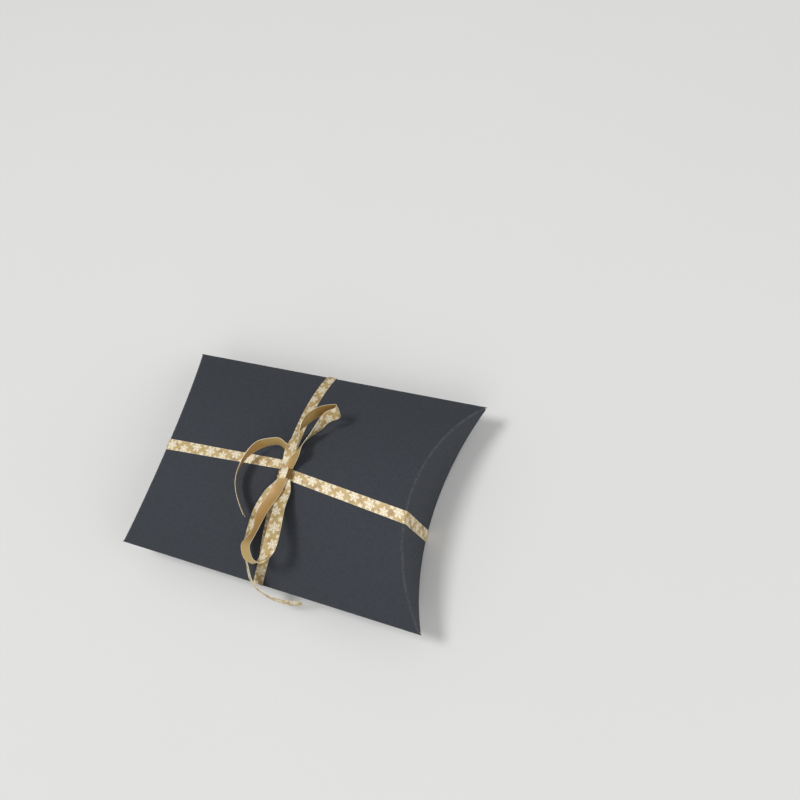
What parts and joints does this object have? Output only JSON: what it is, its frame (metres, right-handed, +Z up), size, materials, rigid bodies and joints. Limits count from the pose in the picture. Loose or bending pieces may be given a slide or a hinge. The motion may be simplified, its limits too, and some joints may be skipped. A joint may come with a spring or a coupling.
{
  "type": "pillow box",
  "caption": "Pillow-shaped gift box folded from dark card, with curved tuck flaps closing the ends, tied crosswise with a narrow flat ribbon and a bow.",
  "frame": {"origin": "point under the middle of the box where the ribbon on the convex underside rests", "axes": "+X along the box towards the right end flaps, +Y across it towards the glued fold, +Z up through the bow"},
  "size_m": [0.1618, 0.1122, 0.0462],
  "materials": {
    "card": "matte",
    "ribbon": "satin"
  },
  "bodies": {
    "box": {"front_panel": "card", "back_panel": "card", "glue_flap": "card", "ribbon_front_left": "ribbon", "ribbon_front_right": "ribbon", "ribbon_front_upper": "ribbon", "ribbon_front_lower": "ribbon", "ribbon_back_long": "ribbon", "ribbon_back_cross": "ribbon", "bow_knot": "ribbon", "bow_loop_upper": "ribbon", "bow_loop_lower": "ribbon", "bow_tail_upper": "ribbon", "bow_tail_lower": "ribbon"},
    "right_outer": {"right_outer_flap": "card", "ribbon_right_end": "ribbon"},
    "left_outer": {"left_outer_flap": "card", "ribbon_left_end": "ribbon"},
    "right_inner": {"right_inner_flap": "card"},
    "left_inner": {"left_inner_flap": "card"}
  },
  "joints": [
    {"name": "right_outer_crease", "type": "hinge", "parent": "box", "child": "right_outer", "pos_m": [0.06444, 0, 0.0365], "axis": [0, -1, 0], "range_deg": [0, 100]},
    {"name": "left_outer_crease", "type": "hinge", "parent": "box", "child": "left_outer", "pos_m": [-0.06444, 0, 0.0365], "axis": [0, 1, 0], "range_deg": [0, 100]},
    {"name": "right_inner_crease", "type": "hinge", "parent": "box", "child": "right_inner", "pos_m": [0.06309, 0, 0.00095], "axis": [0, -1, 0], "range_deg": [0, 70]},
    {"name": "left_inner_crease", "type": "hinge", "parent": "box", "child": "left_inner", "pos_m": [-0.06309, 0, 0.00095], "axis": [0, 1, 0], "range_deg": [0, 70]}
  ]
}
